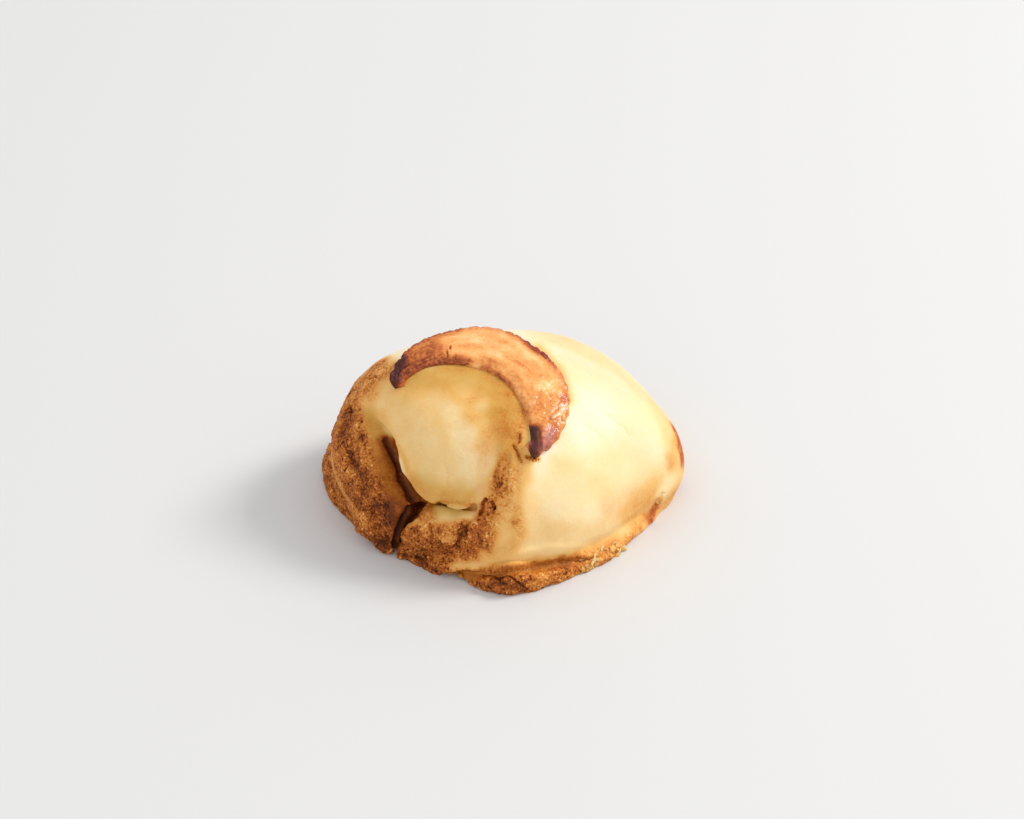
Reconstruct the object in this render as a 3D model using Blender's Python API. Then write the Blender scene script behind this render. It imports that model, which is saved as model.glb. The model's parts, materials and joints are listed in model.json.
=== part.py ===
"""A ricotta panzerotto: a domed turnover of shortcrust pastry, folded at its front left
round a puffed pocket, with an egg-glazed crescent of dough lying on its crown.

Run it with: blender --background --python part.py
Units are metres, +Z is up, and the part stands on z = 0 with its front towards -Y.
"""

import math

import bmesh
import bpy
import numpy as np
from mathutils import Matrix, Vector, noise
from mathutils.bvhtree import BVHTree

MM = 0.001
RING_ANGLES = np.linspace(0, math.tau, 96, endpoint=False)

# The dome, in millimetres. It reaches this far from its middle at sixteen compass
# points, counted anticlockwise from +X.
HEIGHT = 53.5
WAIST = 9.5
BELLY_REACH = [56, 54.5, 54, 49.5, 45, 46, 50, 54.5, 53.5, 48, 43, 41, 41, 42, 42.5, 45]
# Over 1 slopes the dome's side and under 1 fills it out, at eight compass points
BELLY_SLOPE = [1.2, 1.07, 1, 1, 0.8, 1.03, 1, 1]
MIDDLE = (0, 2)
CROWN_SHIFT = (-4.7, 0.4)
DOME_RINGS = 22
# How far the dome draws in under its waist, at eight compass points, and the heights of
# the rings there. The lowest is under the floor, where the base is cut flat later.
TUCK = [3, 2, 2, 3, 3, 3, 5, 4]
TUCK_CURVE = 1.2
TUCK_HEIGHTS = [-3, 1, 4, 6, 8]

# The bottom sheet of dough, in millimetres, at sixteen and at eight compass points
SHEET_REACH = [52, 56, 54, 49, 46, 48, 53, 60.5, 55.5, 46.5, 44, 42.5, 48, 45.5, 44, 46.5]
SHEET_TOP = [3.5, 4, 4.5, 5.5, 8, 4, 7.5, 5]
# Its rounded rim from below the floor upwards: share of the top's height, and inset
SHEET_RIM = [(-0.6, 1.5), (0.1, 0.3), (0.4, 0), (0.7, 0.5), (0.9, 1.6), (1, 3.2)]

# Folds pressed into the dome. Each row is a place on the skin, the depth there, and the
# widths of the inner side, towards the pocket, and of the outer side, in millimetres.
POCKET_FOLD = [
    (-40, -9, 37.5, 1, 1.2, 4),
    (-37, -13.5, 37, 4, 1.4, 7),
    (-34.5, -17, 35.5, 8.5, 1.6, 7.5),
    (-33.7, -20, 33, 12, 1.6, 8),
    (-32.8, -23, 29, 14, 1.6, 8.5),
    (-31.2, -25, 27, 15, 1.7, 8.5),
    (-29, -27, 25, 15.5, 1.8, 8),
    (-26.8, -28.8, 22.8, 14.5, 2, 6.5),
    (-24, -30.5, 21, 12, 2, 4.5),
    (-19.5, -32.5, 21.4, 9.5, 2, 3.5),
    (-15, -34, 21.9, 7, 2, 3),
    (-10, -35.3, 22.5, 4.5, 2, 2.5),
    (-6, -36, 23.4, 1, 2, 2),
]
CORNER_FOLD = [
    (-26, -30, 21, 10, 1.6, 4),
    (-28.5, -29.5, 15.5, 10, 1.6, 4.5),
    (-30, -28.5, 12, 9, 1.4, 4),
    (-31.5, -27, 7, 7, 1.2, 3),
    (-32.5, -25.5, 1, 6, 1.1, 2.5),
    (-33.5, -24.5, -4, 6, 1.1, 2.5),
]
FOLD_STEPS = 4
# A fold's sides, from the skin to its floor: share of the width and share of the depth.
# The inner side runs back under the pocket, which so puffs out over the floor.
INNER_SIDE = [(1, 0), (1.1, 0.2), (1.4, 0.5), (1.6, 0.8), (0.9, 1)]
OUTER_SIDE = [(0.05, 0.95), (0.2, 0.76), (0.45, 0.47), (0.75, 0.18)]
# The radius of the skin where the folds are
SKIN_BEND = 42
# A fold's cutter leaves the skin a little wider than the fold, and ends well outside
CUTTER_LIP = (1.05, 0.4)
CUTTER_END = (1.15, 6)

# Swells and dents of the skin: places along each, its width, and how far it stands out
SWELLS = {
    "keel": ([(3, -42, 8), (3, -38, 17), (4, -35, 28), (6, -31, 35), (8, -27, 40)], 5, 2.2),
    "keel_shade": ([(-6, -37, 19), (-4, -36, 25), (-2, -33, 33)], 4, -1.2),
    "pocket": ([(-20, -24, 39)], 11, 1.2),
    "left_roll": ([(-48, -5, 23), (-45, -13, 17), (-42, -19, 11)], 7, 2.2),
    "roll_end": ([(-43, -19, 5), (-40, -22, 5), (-36, -25, 4)], 4.5, 3.4),
    "roll_crest": ([(-43, -8, 34), (-41, -17, 26), (-38, -22, 17)], 3, 1),
    "front_lip": ([(-29, -29, 9), (-25, -33, 12), (-18, -35.5, 14.5), (-11, -38, 15.5), (-4, -39, 15)], 4.5, 1.8),
    "lip_notch": ([(-13, -36, 16), (-11.5, -38, 11)], 1.8, -2.4),
    "pit_left": ([(-6.5, -36, 23)], 1.6, -1.6),
    "pit_right": ([(-2, -36.5, 25)], 1.5, -1.5),
}
SWELL_STEPS = 6
UNEVEN = 0.5
UNEVEN_SIZE = 16
NOISE_START = Vector((5, 0, 0))
# The crust is rougher from here to the left, and up to this height round the foot
ROUGH = 0.3
ROUGH_SIZE = 5
CRUST_EDGE = -8
CRUST_FADE = 20
CRUST_FOOT = 8

# The crescent in plan, in millimetres: a round of dough less an offset round
ROUND_MIDDLE = (-7, -9)
ROUND_RADIUS = 26.5
# The round is flatter at its back right: the middle and spread of that stretch, and how
# far its edge draws in
FLAT_ANGLE = math.radians(46)
FLAT_SPREAD = math.radians(34)
FLAT_DEPTH = 4.5
BITE_MIDDLE = (-18.5, -27.5)
BITE_RADIUS = 26.5
CRESCENT_FROM = math.radians(171)
CRESCENT_TO = math.radians(-54)
TIP_WIDTH = 3.4
CRESCENT_THIN = 1.6
CRESCENT_THICK = 3.4
FLUTE_DEPTH = 0.5
FLUTE_COUNT = 25
ALONG_STEPS = 100
ACROSS_STEPS = 7
# Top of the crescent from its outer edge to its inner one: place and share of thickness
TOP_PROFILE = [(1, 0.5), (0.97, 0.85), (0.85, 1), (0.6, 0.97), (0.3, 0.95), (0.05, 0.8), (0, 0.4)]
GAP = 0.35
# The crescent's thickness stands away from this place under the dome
HEART = (-5, 2, -5)

VOXEL = 0.8
CUTTER_VOXEL = 0.5
SOFTEN_FACTOR = 0.5
SOFTEN_STEPS = 10
# Of the whole skin, before the part of it under the floor is cut away
SHELL_TRIANGLES = 13000

PASTRY_COLOR = (0.84, 0.6, 0.3)
PASTRY_ROUGHNESS = 0.6
GLAZE_COLOR = (0.63, 0.27, 0.08)
GLAZE_ROUGHNESS = 0.35
SHARP_OVER = math.radians(50)


def clear_scene():
    for old in list(bpy.data.objects):
        bpy.data.objects.remove(old, do_unlink=True)


def between(rows, place):
    """Smooth curve through four rows, read a share of the way from the second to the third."""
    a, b, c, d = rows
    curve = 2 * a - 5 * b + 4 * c - d + place * (3 * (b - c) + d - a)
    return b + 0.5 * place * (c - a + place * curve)


def at_compass(values, angle):
    """Smooth ring through values at evenly spaced compass points."""
    place = angle / math.tau * len(values)
    first = math.floor(place)
    rows = [values[(first + k) % len(values)] for k in (-1, 0, 1, 2)]
    return between(rows, place - first)


def smooth_run(stations, steps):
    """Rows read evenly along a smooth curve through the stations."""
    rows = np.array(stations, float)
    if len(rows) == 1:
        return rows
    rows = np.vstack([2 * rows[0] - rows[1], rows, 2 * rows[-1] - rows[-2]])
    run = []
    for place in np.linspace(0, len(stations) - 1, steps):
        first = min(int(place), len(stations) - 2)
        run.append(between(rows[first : first + 4], place - first))
    return np.array(run)


def add_object(name, mesh):
    obj = bpy.data.objects.new(name, mesh)
    bpy.context.scene.collection.objects.link(obj)
    return obj


def loft(name, rings):
    """Closed solid through rings of equal point counts, in millimetres, capped at both ends."""
    shape = bmesh.new()
    loops = [[shape.verts.new(Vector(point) * MM) for point in ring] for ring in rings]
    count = len(loops[0])
    for low, high in zip(loops, loops[1:]):
        for k in range(count):
            shape.faces.new((low[k], low[(k + 1) % count], high[(k + 1) % count], high[k]))
    caps = [shape.faces.new(list(reversed(loops[0]))), shape.faces.new(loops[-1])]
    bmesh.ops.triangulate(shape, faces=caps)
    bmesh.ops.recalc_face_normals(shape, faces=shape.faces)
    mesh = bpy.data.meshes.new(name)
    shape.to_mesh(mesh)
    shape.free()
    return add_object(name, mesh)


def all_round(values):
    return np.array([at_compass(values, angle) for angle in RING_ANGLES])


def plan_ring(reaches, middle, heights):
    """Ring of points that lie this far from the middle, at these heights."""
    ring = np.empty((len(RING_ANGLES), 3))
    ring[:, 0] = middle[0] + reaches * np.cos(RING_ANGLES)
    ring[:, 1] = middle[1] + reaches * np.sin(RING_ANGLES)
    ring[:, 2] = heights
    return ring


def make_belly():
    """Dome that draws in under its waist."""
    reach, tuck, slope = all_round(BELLY_REACH), all_round(TUCK), all_round(BELLY_SLOPE)
    rings = []
    for height in TUCK_HEIGHTS:
        share = ((WAIST - height) / WAIST) ** TUCK_CURVE
        rings.append(plan_ring(reach - share * tuck, MIDDLE, height))
    for i in range(DOME_RINGS):
        level = math.pi / 2 * i / DOME_RINGS
        lift = math.sin(level)
        middle = [MIDDLE[k] + CROWN_SHIFT[k] * lift**2 for k in (0, 1)]
        rings.append(plan_ring(reach * math.cos(level) ** slope, middle, WAIST + (HEIGHT - WAIST) * lift))
    return loft("belly", rings)


def make_sheet():
    """Bottom sheet of dough, with a rounded rim that stands out round the dome."""
    reach, top = all_round(SHEET_REACH), all_round(SHEET_TOP)
    return loft("sheet", [plan_ring(reach - inset, MIDDLE, share * top) for share, inset in SHEET_RIM])


def skin_of(obj):
    graph = bpy.context.evaluated_depsgraph_get()
    return BVHTree.FromObject(obj, graph)


def make_fold(name, skin, stations):
    """Cutter for a fold: a ditch that runs back under its inner side."""
    run = smooth_run(stations, FOLD_STEPS * len(stations))
    places = [skin.find_nearest(Vector(row[:3]) * MM) for row in run]
    spots = [np.array(place[0]) / MM for place in places]
    rings = []
    for i, row in enumerate(run):
        depth, inner, outer = row[3:]
        out = np.mean([places[j][1] for j in range(max(i - 2, 0), min(i + 3, len(run)))], axis=0)
        ahead = spots[min(i + 1, len(run) - 1)] - spots[max(i - 1, 0)]
        aside = np.cross(out, ahead)
        aside /= np.linalg.norm(aside)
        out = np.cross(ahead, aside)
        out /= np.linalg.norm(out)
        profile = [(width * inner, rise) for width, rise in (CUTTER_END, CUTTER_LIP)]
        profile += [(width * inner, -low * depth) for width, low in INNER_SIDE]
        profile += [(-width * outer, -low * depth) for width, low in OUTER_SIDE]
        profile += [(-width * outer, rise) for width, rise in (CUTTER_LIP, CUTTER_END)]
        rings.append([spots[i] + aside * s + out * (n - s * s / (2 * SKIN_BEND)) for s, n in profile])
    return loft(name, rings)


def add_remesh(obj, name, voxel=VOXEL):
    remesh = obj.modifiers.new(name, "REMESH")
    remesh.mode = "VOXEL"
    remesh.voxel_size = voxel * MM


def make_block():
    """Dome and sheet grown together, with the folds cut in."""
    belly = make_belly()
    skin = skin_of(belly)
    cutters = [make_fold("pocket_fold", skin, POCKET_FOLD), make_fold("corner_fold", skin, CORNER_FOLD)]
    sheet = make_sheet()
    join = bmesh.new()
    join.from_mesh(belly.data)
    join.from_mesh(sheet.data)
    mesh = bpy.data.meshes.new("block")
    join.to_mesh(mesh)
    join.free()
    block = add_object("block", mesh)
    add_remesh(block, "grow_together")
    for cutter in cutters:
        add_remesh(cutter, "clean", CUTTER_VOXEL)
        cut = block.modifiers.new(cutter.name, "BOOLEAN")
        cut.operation = "DIFFERENCE"
        cut.object = cutter
    add_remesh(block, "even_out")
    soften = block.modifiers.new("soften", "SMOOTH")
    soften.factor = SOFTEN_FACTOR
    soften.iterations = SOFTEN_STEPS
    graph = bpy.context.evaluated_depsgraph_get()
    mesh = bpy.data.meshes.new_from_object(block.evaluated_get(graph))
    for helper in [belly, sheet, block] + cutters:
        bpy.data.objects.remove(helper, do_unlink=True)
    return mesh


def swell_skin(mesh):
    """Push the skin out and in: the named swells, then a seeded unevenness."""
    points = np.empty(len(mesh.vertices) * 3, np.float32)
    normals = np.empty(len(mesh.vertices) * 3, np.float32)
    mesh.vertices.foreach_get("co", points)
    mesh.vertex_normals.foreach_get("vector", normals)
    points = points.reshape(-1, 3) / MM
    normals = normals.reshape(-1, 3)
    move = np.zeros(len(points))
    for stations, width, rise in SWELLS.values():
        run = smooth_run(stations, SWELL_STEPS * len(stations))
        away = np.min([np.linalg.norm(points - place, axis=1) for place in run], axis=0)
        move += rise * np.exp(-((away / width) ** 2))
    for k, point in enumerate(points):
        spot = Vector(point)
        move[k] += UNEVEN * noise.noise(spot / UNEVEN_SIZE + NOISE_START)
        crust = min(max((CRUST_EDGE - spot.x) / CRUST_FADE, 1 - spot.z / CRUST_FOOT, 0), 1)
        move[k] += crust * ROUGH * noise.noise(spot / ROUGH_SIZE)
    points = (points + normals * move[:, None]) * MM
    mesh.vertices.foreach_set("co", points.astype(np.float32).ravel())
    mesh.update()


def island_of(start):
    """All vertices that edges join to this one."""
    island = {start}
    edge_of_island = [start]
    while edge_of_island:
        vertex = edge_of_island.pop()
        fresh = {edge.other_vert(vertex) for edge in vertex.link_edges} - island
        island |= fresh
        edge_of_island += fresh
    return island


def drop_scraps(shape):
    """Leave only the skin itself, without the loose scraps that the cuts left inside it."""
    skin = island_of(max(shape.verts, key=lambda vertex: vertex.co.z))
    scraps = [vertex for vertex in shape.verts if vertex not in skin]
    bmesh.ops.delete(shape, geom=scraps, context="VERTS")


def cut_flat(obj):
    """Flat base at z = 0."""
    shape = bmesh.new()
    shape.from_mesh(obj.data)
    drop_scraps(shape)
    geometry = shape.verts[:] + shape.edges[:] + shape.faces[:]
    bmesh.ops.bisect_plane(shape, geom=geometry, plane_co=(0, 0, 0), plane_no=(0, 0, 1), clear_inner=True)
    rim = [edge for edge in shape.edges if edge.is_boundary]
    bmesh.ops.holes_fill(shape, edges=rim)
    bmesh.ops.triangulate(shape, faces=shape.faces)
    shape.to_mesh(obj.data)
    shape.free()


def make_shell():
    mesh = make_block()
    swell_skin(mesh)
    shell = add_object("pastry_shell", mesh)
    mesh.calc_loop_triangles()
    thin = shell.modifiers.new("thin", "DECIMATE")
    thin.ratio = SHELL_TRIANGLES / len(mesh.loop_triangles)
    graph = bpy.context.evaluated_depsgraph_get()
    shell.data = bpy.data.meshes.new_from_object(shell.evaluated_get(graph))
    shell.modifiers.clear()
    cut_flat(shell)
    return shell


def bite_distance(angle):
    """From the middle of the round to the edge of the bite, in this direction."""
    x, y = (BITE_MIDDLE[k] - ROUND_MIDDLE[k] for k in (0, 1))
    ahead = x * math.cos(angle) + y * math.sin(angle)
    return ahead + math.sqrt(ahead**2 - x**2 - y**2 + BITE_RADIUS**2)


def round_reach(angle):
    """From the middle of the round to its edge, in this direction."""
    aside = (angle - FLAT_ANGLE) / FLAT_SPREAD
    return ROUND_RADIUS - FLAT_DEPTH * math.exp(-aside * aside)


def make_crescent(skin):
    """Crescent of rolled dough that follows the dome under it, with a fluted outer edge."""
    rings = []
    for i in range(ALONG_STEPS + 1):
        share = i / ALONG_STEPS
        angle = CRESCENT_FROM + (CRESCENT_TO - CRESCENT_FROM) * share
        flute = FLUTE_DEPTH * abs(math.sin(math.pi * FLUTE_COUNT * share))
        far = round_reach(angle) - FLUTE_DEPTH + flute
        near = min(bite_distance(angle), far - TIP_WIDTH)
        ring = [(k / ACROSS_STEPS, GAP) for k in range(ACROSS_STEPS + 1)]
        for across, high in TOP_PROFILE:
            ring.append((across, GAP + high * (CRESCENT_THIN + (CRESCENT_THICK - CRESCENT_THIN) * across)))
        places = []
        for across, height in ring:
            reach = near + (far - near) * across
            x = ROUND_MIDDLE[0] + reach * math.cos(angle)
            y = ROUND_MIDDLE[1] + reach * math.sin(angle)
            spot = skin.ray_cast(Vector((x, y, 2 * HEIGHT)) * MM, Vector((0, 0, -1)))[0] / MM
            places.append(spot + (spot - Vector(HEART)).normalized() * height)
        rings.append(places)
    return loft("glazed_crescent", rings)


def centre_on_origin(pieces):
    """Move the pieces together so that the middle of their box's underside is the origin."""
    corners = np.array([vertex.co for piece in pieces for vertex in piece.data.vertices])
    low, high = corners.min(axis=0), corners.max(axis=0)
    shift = Matrix.Translation((-(low[0] + high[0]) / 2, -(low[1] + high[1]) / 2, -low[2]))
    for piece in pieces:
        piece.data.transform(shift)


def finish(obj, color, roughness):
    material = bpy.data.materials.new(obj.name)
    material.use_nodes = True
    shader = material.node_tree.nodes["Principled BSDF"]
    shader.inputs["Base Color"].default_value = (*color, 1)
    shader.inputs["Roughness"].default_value = roughness
    shader.inputs["Metallic"].default_value = 0
    obj.data.materials.append(material)
    obj.data.shade_smooth()
    obj.data.set_sharp_from_angle(angle=SHARP_OVER)


def main():
    clear_scene()
    shell = make_shell()
    crescent = make_crescent(skin_of(shell))
    centre_on_origin([shell, crescent])
    finish(shell, PASTRY_COLOR, PASTRY_ROUGHNESS)
    finish(crescent, GLAZE_COLOR, GLAZE_ROUGHNESS)


main()
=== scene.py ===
import json
import math

import bpy
import numpy as np
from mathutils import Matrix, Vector, noise
from mathutils.bvhtree import BVHTree

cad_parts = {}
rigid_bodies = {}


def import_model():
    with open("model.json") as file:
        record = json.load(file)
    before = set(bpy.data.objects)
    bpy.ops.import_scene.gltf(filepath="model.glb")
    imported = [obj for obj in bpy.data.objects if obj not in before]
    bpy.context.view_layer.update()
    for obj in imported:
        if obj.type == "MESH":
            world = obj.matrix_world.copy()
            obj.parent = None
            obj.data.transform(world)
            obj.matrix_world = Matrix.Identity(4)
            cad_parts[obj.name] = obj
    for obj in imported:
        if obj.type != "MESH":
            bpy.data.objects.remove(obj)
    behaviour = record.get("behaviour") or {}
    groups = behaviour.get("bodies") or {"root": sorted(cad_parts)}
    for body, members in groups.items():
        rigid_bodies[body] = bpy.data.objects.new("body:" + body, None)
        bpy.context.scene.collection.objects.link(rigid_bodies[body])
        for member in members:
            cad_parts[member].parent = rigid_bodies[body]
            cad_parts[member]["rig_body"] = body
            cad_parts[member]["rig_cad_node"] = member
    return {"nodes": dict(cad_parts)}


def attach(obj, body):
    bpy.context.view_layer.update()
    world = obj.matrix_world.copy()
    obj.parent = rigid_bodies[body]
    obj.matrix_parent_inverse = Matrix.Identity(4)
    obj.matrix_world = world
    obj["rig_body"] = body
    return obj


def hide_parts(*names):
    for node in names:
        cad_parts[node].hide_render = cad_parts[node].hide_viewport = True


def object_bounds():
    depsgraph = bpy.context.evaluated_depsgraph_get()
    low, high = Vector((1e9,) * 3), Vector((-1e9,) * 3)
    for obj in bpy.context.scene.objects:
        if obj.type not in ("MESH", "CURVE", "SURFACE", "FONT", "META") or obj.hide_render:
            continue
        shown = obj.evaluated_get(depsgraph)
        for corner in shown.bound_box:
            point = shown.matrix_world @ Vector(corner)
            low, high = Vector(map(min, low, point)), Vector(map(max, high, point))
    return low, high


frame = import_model()
cadLow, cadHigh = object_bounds()
mm = 0.001
sameSpot = 0.02 * mm
boxLow, boxHigh = np.array(cadLow) / mm, np.array(cadHigh) / mm
# a fixed seed, since Blender's vector noise else starts from the clock
noise.seed_set(3)

# The camera that took the picture: places and lens in mm, the picture in pixels. A pixel beside
# the skin is moved towards its middle, in tries up to this share of the way.
photoView = {
    "place": (3.2, -601.2, 458.8),
    "lookDown": 35.2,
    "lens": 85,
    "sensor": 36,
    "wide": 1024,
    "high": 819,
    "skinMiddle": (504, 465),
    "inwards": 0.1,
    "tries": 21,
    "facesAway": (0.12, -0.25),
}

# How strokes lie on the skin, in pixels: how close their stops are, and how those with a
# sharp side fade. They fade in half widths, wander by patches and ways in mm, and reach this
# many half widths and this many mm deep.
brushForm = {
    "spacing": 6,
    "fade": (1.4, 0.4),
    "reach": (2, 2),
    "reachFade": 0.6,
    "wander": (4, 0.7),
    "sharpSide": (-1.4, 1.2),
    "softSide": 0.3,
    "softEnds": 14,
    "maskSteps": 20,
}

# The camera's own directions, its focal length in pixels, and a pixel's size on the pastry
tilt = math.radians(photoView["lookDown"])
cameraPlace = np.array(photoView["place"])
cameraUp = np.array((0, math.sin(tilt), math.cos(tilt)))
cameraAhead = np.array((0, math.cos(tilt), -math.sin(tilt)))
focal = photoView["lens"] / photoView["sensor"] * photoView["wide"]
pixelSize = np.linalg.norm(cameraPlace) / focal


def colour(red, green, blue):
    # picture values from 0 to 255 as the linear ones that a shader takes
    shares = [value / 255 for value in (red, green, blue)]
    linear = [s / 12.92 if s < 0.04045 else ((s + 0.055) / 1.055) ** 2.4 for s in shares]
    return (*linear, 1)


def selectOnly(piece):
    bpy.ops.object.select_all(action="DESELECT")
    piece.hide_set(False)
    piece.select_set(True)
    bpy.context.view_layer.objects.active = piece


def copyOfNode(node, name):
    # the CAD node's loose triangles merged into one skin
    selectOnly(frame["nodes"][node])
    bpy.ops.object.duplicate(linked=False)
    piece = bpy.context.object
    piece.name = piece.data.name = name
    bpy.ops.object.parent_clear(type="CLEAR_KEEP_TRANSFORM")
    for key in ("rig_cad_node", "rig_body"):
        del piece[key]
    bpy.ops.object.mode_set(mode="EDIT")
    bpy.ops.mesh.select_all(action="SELECT")
    bpy.ops.mesh.remove_doubles(threshold=sameSpot)
    bpy.ops.object.mode_set(mode="OBJECT")
    return piece


def applyAll(piece):
    selectOnly(piece)
    for modifier in list(piece.modifiers):
        bpy.ops.object.modifier_apply(modifier=modifier.name)


def evenSkin(piece, form):
    # even quads all over, with the CAD facets smoothed out
    remesh = piece.modifiers.new("even", "REMESH")
    remesh.mode = "VOXEL"
    remesh.voxel_size = form["grain"] * mm
    soften = piece.modifiers.new("soften", "SMOOTH")
    soften.factor = 0.5
    soften.iterations = form["softenSteps"]
    applyAll(piece)


def thinSkin(piece, form):
    # fewer faces where the skin is plain
    thin = piece.modifiers.new("thin", "DECIMATE")
    thin.ratio = min(1, form["triangles"] / (2 * len(piece.data.polygons)))
    applyAll(piece)


def readRows(rows, name, count, kind=np.float32):
    # so many numbers of each point, edge or the like
    values = np.empty(len(rows) * count, kind)
    rows.foreach_get(name, values)
    return values.reshape(-1, count)


def readPoints(piece):
    return readRows(piece.data.vertices, "co", 3).astype(float) / mm


def readNormals(piece):
    return readRows(piece.data.vertex_normals, "vector", 3).astype(float)


def writePoints(piece, points):
    # nothing stands out of the CAD model's box
    points = np.clip(points, boxLow, boxHigh)
    piece.data.vertices.foreach_set("co", (points * mm).astype(np.float32).ravel())
    piece.data.update()


def onSkin(tree, pixel):
    # the place on the skin that shows at this pixel of the picture, or close by
    start = Vector(cameraPlace) * mm
    middle = np.array(photoView["skinMiddle"])
    for inwards in np.linspace(0, photoView["inwards"], photoView["tries"]):
        x, y = pixel + (middle - pixel) * inwards
        aside = (x - photoView["wide"] / 2) / focal
        above = (photoView["high"] / 2 - y) / focal
        ray = cameraAhead + above * cameraUp + np.array((aside, 0, 0))
        hit = tree.ray_cast(start, Vector(ray).normalized())[0]
        if hit:
            return np.array(hit) / mm
    return None


def inPicture(points):
    # the pixels at which these places show
    seen = points - cameraPlace
    ahead = seen @ cameraAhead
    x = photoView["wide"] / 2 + focal * seen[:, 0] / ahead
    y = photoView["high"] / 2 - focal * (seen @ cameraUp) / ahead
    return np.stack([x, y], axis=1)


def noiseAt(points, size, shift=0):
    # from about -1 to 1, in patches of this size
    offset = Vector((shift, 0, 0))
    return np.array([noise.noise(Vector(point) / size + offset) for point in points])


def vectorsAt(points, size):
    # a way to go at each place, alike in patches of this size
    return np.array([noise.noise_vector(Vector(point) / size) for point in points])


def cellsAt(points, size):
    # distance to the nearest and the second nearest of scattered seeds, in cells
    return np.array([noise.voronoi(Vector(point) / size)[0][:2] for point in points])


def smoothStep(low, high, values):
    share = np.clip((values - low) / (high - low), 0, 1)
    return share * share * (3 - 2 * share)


def mixed(level, value, share):
    return level + (value - level) * share


def skinOf(piece):
    # what the brush needs of a piece: its places, where they show, its edges and its faces
    points = readPoints(piece)
    size, way = brushForm["wander"]
    return {
        "points": points,
        "normals": readNormals(piece),
        "pixels": inPicture(points + way * vectorsAt(points, size)),
        "edges": readRows(piece.data.edges, "vertices", 2, np.int32),
        "tree": BVHTree.FromObject(piece, bpy.context.evaluated_depsgraph_get()),
    }


def blur(skin, values, steps):
    # each point takes on half of its neighbours' mean, again and again
    first, second = skin["edges"].T
    count = np.bincount(skin["edges"].ravel(), minlength=len(values))
    for _ in range(steps):
        total = np.bincount(first, values[second], len(values))
        total += np.bincount(second, values[first], len(values))
        values = 0.5 * values + 0.5 * total / count
    return values


def underLine(spots, line, wide):
    # 1 just under a line through the picture, fading to 0 this far below it and at its ends
    form = brushForm
    low = spots[:, 1] - np.interp(spots[:, 0], line[:, 0], line[:, 1])
    ends = smoothStep(0, form["softEnds"], spots[:, 0] - line[0, 0])
    ends *= smoothStep(0, form["softEnds"], line[-1, 0] - spots[:, 0])
    below = smoothStep(*form["sharpSide"], low) * smoothStep(wide, form["softSide"] * wide, low)
    return below * ends


def awayFrom(spots, line):
    # distance from each spot to the line, and the share of the line's way at the nearest place
    best = np.full(len(spots), np.inf)
    along = np.zeros(len(spots))
    ends = list(zip(line[:-1], line[1:])) or [(line[0], line[0])]
    for k, (start, end) in enumerate(ends):
        run = end - start
        share = np.clip(((spots - start) @ run) / max(run @ run, 1e-9), 0, 1)
        away = np.linalg.norm(spots - start - share[:, None] * run, axis=1)
        closer = away < best
        best[closer] = away[closer]
        along[closer] = (k + share[closer]) / len(ends)
    return best, along


def brush(skin, pixels, wide, taper=False, under=False):
    # 1 along a stroke through these pixels of the picture, fading to 0 at its sides. With
    # under, it starts sharply at the line and lies below it.
    form = brushForm
    line = np.array(pixels, float)
    stops = [line[0]]
    for start, end in zip(line[:-1], line[1:]):
        count = max(1, round(np.linalg.norm(end - start) / form["spacing"]))
        stops += [start + (end - start) * (k + 1) / count for k in range(count)]
    spots = [onSkin(skin["tree"], stop) for stop in stops]
    spots = np.array([spot for spot in spots if spot is not None])
    widths, more = form["reach"]
    reach = widths * wide * pixelSize + more
    points = skin["points"]
    near = np.all((points > spots.min(0) - reach) & (points < spots.max(0) + reach), axis=1)
    index = np.flatnonzero(near)
    away, along = awayFrom(skin["pixels"][index], line)
    deep = awayFrom(points[index], spots)[0]
    if under:
        found = underLine(skin["pixels"][index], line, wide)
    else:
        found = smoothStep(*form["fade"], away / wide)
    found *= smoothStep(reach, form["reachFade"] * reach, deep)
    if taper:
        found *= np.sqrt(np.clip(np.sin(math.pi * along), 0, 1))
    share = np.zeros(len(points))
    share[index] = found
    return share


def paint(level, skin, strokes):
    # each stroke covers what lies under it: pixels, half width, level
    for pixels, wide, value in strokes.values():
        level = mixed(level, value, brush(skin, pixels, wide))
    return level


def addMask(piece, name, shares):
    # a vertex group in even steps
    group = piece.vertex_groups.new(name=name)
    steps = brushForm["maskSteps"]
    levels = np.round(np.clip(shares, 0, 1) * steps).astype(int)
    for level in range(1, steps + 1):
        group.add(np.flatnonzero(levels == level).tolist(), level / steps, "REPLACE")


def addDisplace(piece, name, kind, size, depth, mask, **settings):
    texture = bpy.data.textures.new(name, kind)
    texture.noise_scale = size * mm
    for setting, value in settings.items():
        setattr(texture, setting, value)
    layer = piece.modifiers.new(name, "DISPLACE")
    layer.texture = texture
    layer.texture_coords = "LOCAL"
    layer.strength = depth * mm
    layer.mid_level = 0.5
    layer.vertex_group = mask


def addShares(piece, shares):
    # numbers at each point, which the material reads by name
    for name, values in shares.items():
        attribute = piece.data.attributes.new(name, "FLOAT", "POINT")
        attribute.data.foreach_set("value", np.asarray(values, np.float32))


# The baked skin. Strokes go through pixels of the picture; their half widths are in
# pixels as well, and heights and depths are in mm.
pastryForm = {
    "grain": 0.32,
    "softenSteps": 16,
    "triangles": 194000,
    "bakeBlur": 44,
    "tintBlur": 30,
    "blushBlur": 18,
    "lineBlur": 8,
    "foldDepth": 9,
    "foldStart": 0.3,
    "foldBlur": 20,
    "foldLeans": [(0, 0, 0), (0.8, 0, 0), (-0.8, 0, 0), (0, 0.8, 0), (0, 0, 0.8)],
    "foldOlive": (0.2, 0.8),
    "roughBakes": (0.3, 0.58),
    "oliveSmooths": 0.9,
    "smoothOlives": (0.3, 0.75),
    "leastRough": 0.02,
    "cutShade": 0.07,
    "crackRelief": 1.2,
    "cutRelief": 0.12,
}

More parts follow.
